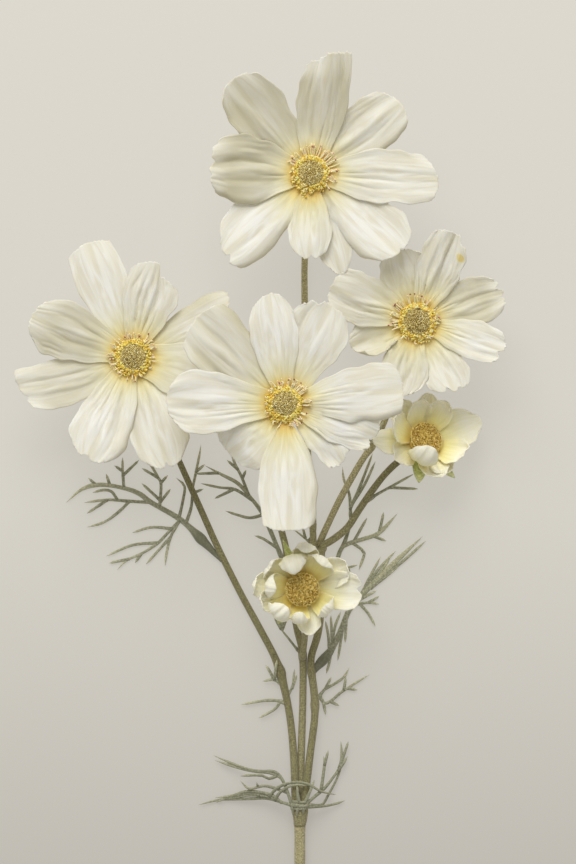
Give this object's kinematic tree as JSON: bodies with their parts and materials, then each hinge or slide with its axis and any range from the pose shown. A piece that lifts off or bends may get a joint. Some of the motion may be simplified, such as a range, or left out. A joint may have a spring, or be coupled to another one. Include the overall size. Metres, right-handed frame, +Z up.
{
  "type": "artificial cosmos flower spray",
  "caption": "Branched artificial cosmos spray laid on its back: white open blooms and half-open ones on thin olive stems with feathery leaves.",
  "frame": {"origin": "middle of the underside of the spray's box, on the surface it lies on", "axes": "+Y along the main stem from its cut end to the top bloom, +X across the spray, +Z up out of the blooms' faces"},
  "size_m": [0.1738, 0.3174, 0.0478],
  "materials": {
    "petal": "matte pressed cloth",
    "bud_petal": "matte pressed cloth",
    "button": "rough flock",
    "bud_disc": "rough flock",
    "stamen": "matte",
    "calyx": "matte",
    "sepal": "matte",
    "stem": "matte moulded",
    "leaf": "matte moulded"
  },
  "bodies": {
    "root": {"between_stems_leaf": "leaf", "centre_stem": "stem", "collar_leaf": "leaf", "front_button": "button", "front_calyx": "calyx", "front_petals_back": "petal", "front_petals_front": "petal", "front_stamens": "stamen", "inner_leaf": "leaf", "left_button": "button", "left_calyx": "calyx", "left_leaf": "leaf", "left_petals_back": "petal", "left_petals_front": "petal", "left_stamens": "stamen", "left_stem": "stem", "left_stem_leaf": "leaf", "left_stem_upper_leaf": "leaf", "low_bud_bract": "sepal", "low_bud_calyx": "calyx", "low_bud_disc": "bud_disc", "low_bud_petals_inner": "bud_petal", "low_bud_petals_outer": "bud_petal", "low_bud_sepals": "sepal", "low_bud_stem": "stem", "low_right_leaf": "leaf", "main_stem": "stem", "middle_leaf": "leaf", "right_bloom_leaf": "leaf", "right_bloom_stem": "stem", "right_button": "button", "right_calyx": "calyx", "right_leaf": "leaf", "right_petals_back": "petal", "right_petals_front": "petal", "right_stamens": "stamen", "right_stem": "stem", "right_stem_leaf": "leaf", "side_bud_calyx": "calyx", "side_bud_disc": "bud_disc", "side_bud_petals_inner": "bud_petal", "side_bud_petals_outer": "bud_petal", "side_bud_sepals": "sepal", "side_bud_stem": "stem", "side_leaf": "leaf", "stem_collar": "stem", "top_bloom_stem": "stem", "top_button": "button", "top_calyx": "calyx", "top_petals_back": "petal", "top_petals_front": "petal", "top_stamens": "stamen", "upper_collar": "stem", "upper_collar_leaf": "leaf"}
  },
  "joints": []
}
